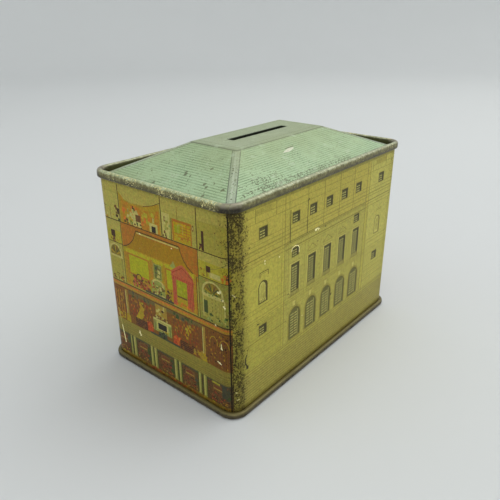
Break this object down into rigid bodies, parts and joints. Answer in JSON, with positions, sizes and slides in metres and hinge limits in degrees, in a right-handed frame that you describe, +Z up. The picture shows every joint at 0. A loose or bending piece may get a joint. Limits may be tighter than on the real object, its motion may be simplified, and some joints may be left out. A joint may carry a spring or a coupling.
{
  "type": "tin money box",
  "caption": "Rectangular tin money box shaped as a small classical building: hipped roof with a coin slot, rolled rims, and a hinged coin trap with a bolt lock underneath.",
  "frame": {"origin": "middle of the underside, on the plane the box stands on", "axes": "+X along the long front, +Z up, the printed front faces -Y, the short wall printed with the cut-away rooms faces -X"},
  "size_m": [0.113, 0.069, 0.0877],
  "materials": {
    "printed_tin": "worn semi-gloss lithographed print",
    "roof_print": "worn semi-gloss lithographed print",
    "lacquered_tin": "dulled gold-brown lacquer",
    "bare_tin": "dull bare tinplate",
    "steel": "plain steel"
  },
  "bodies": {
    "box": {"body_wall": "printed_tin", "roof": "roof_print", "base_plate": "lacquered_tin", "hinge_pin": "steel"},
    "trap": {"trap_door": "lacquered_tin", "lock_case": "bare_tin", "lock_spring": "steel", "key_post": "steel", "lock_rivet_1": "steel", "lock_rivet_2": "steel", "lock_rivet_3": "steel", "lock_rivet_4": "steel"},
    "bolt": {"lock_bolt": "steel"}
  },
  "joints": [
    {"name": "trap_hinge", "type": "hinge", "parent": "box", "child": "trap", "pos_m": [0, 0.0236, 0.00172], "axis": [1, 0, 0], "range_deg": [0, 105]},
    {"name": "bolt_slide", "type": "slide", "parent": "trap", "child": "bolt", "axis": [0, -1, 0], "range_m": [0, 0.0032]}
  ]
}
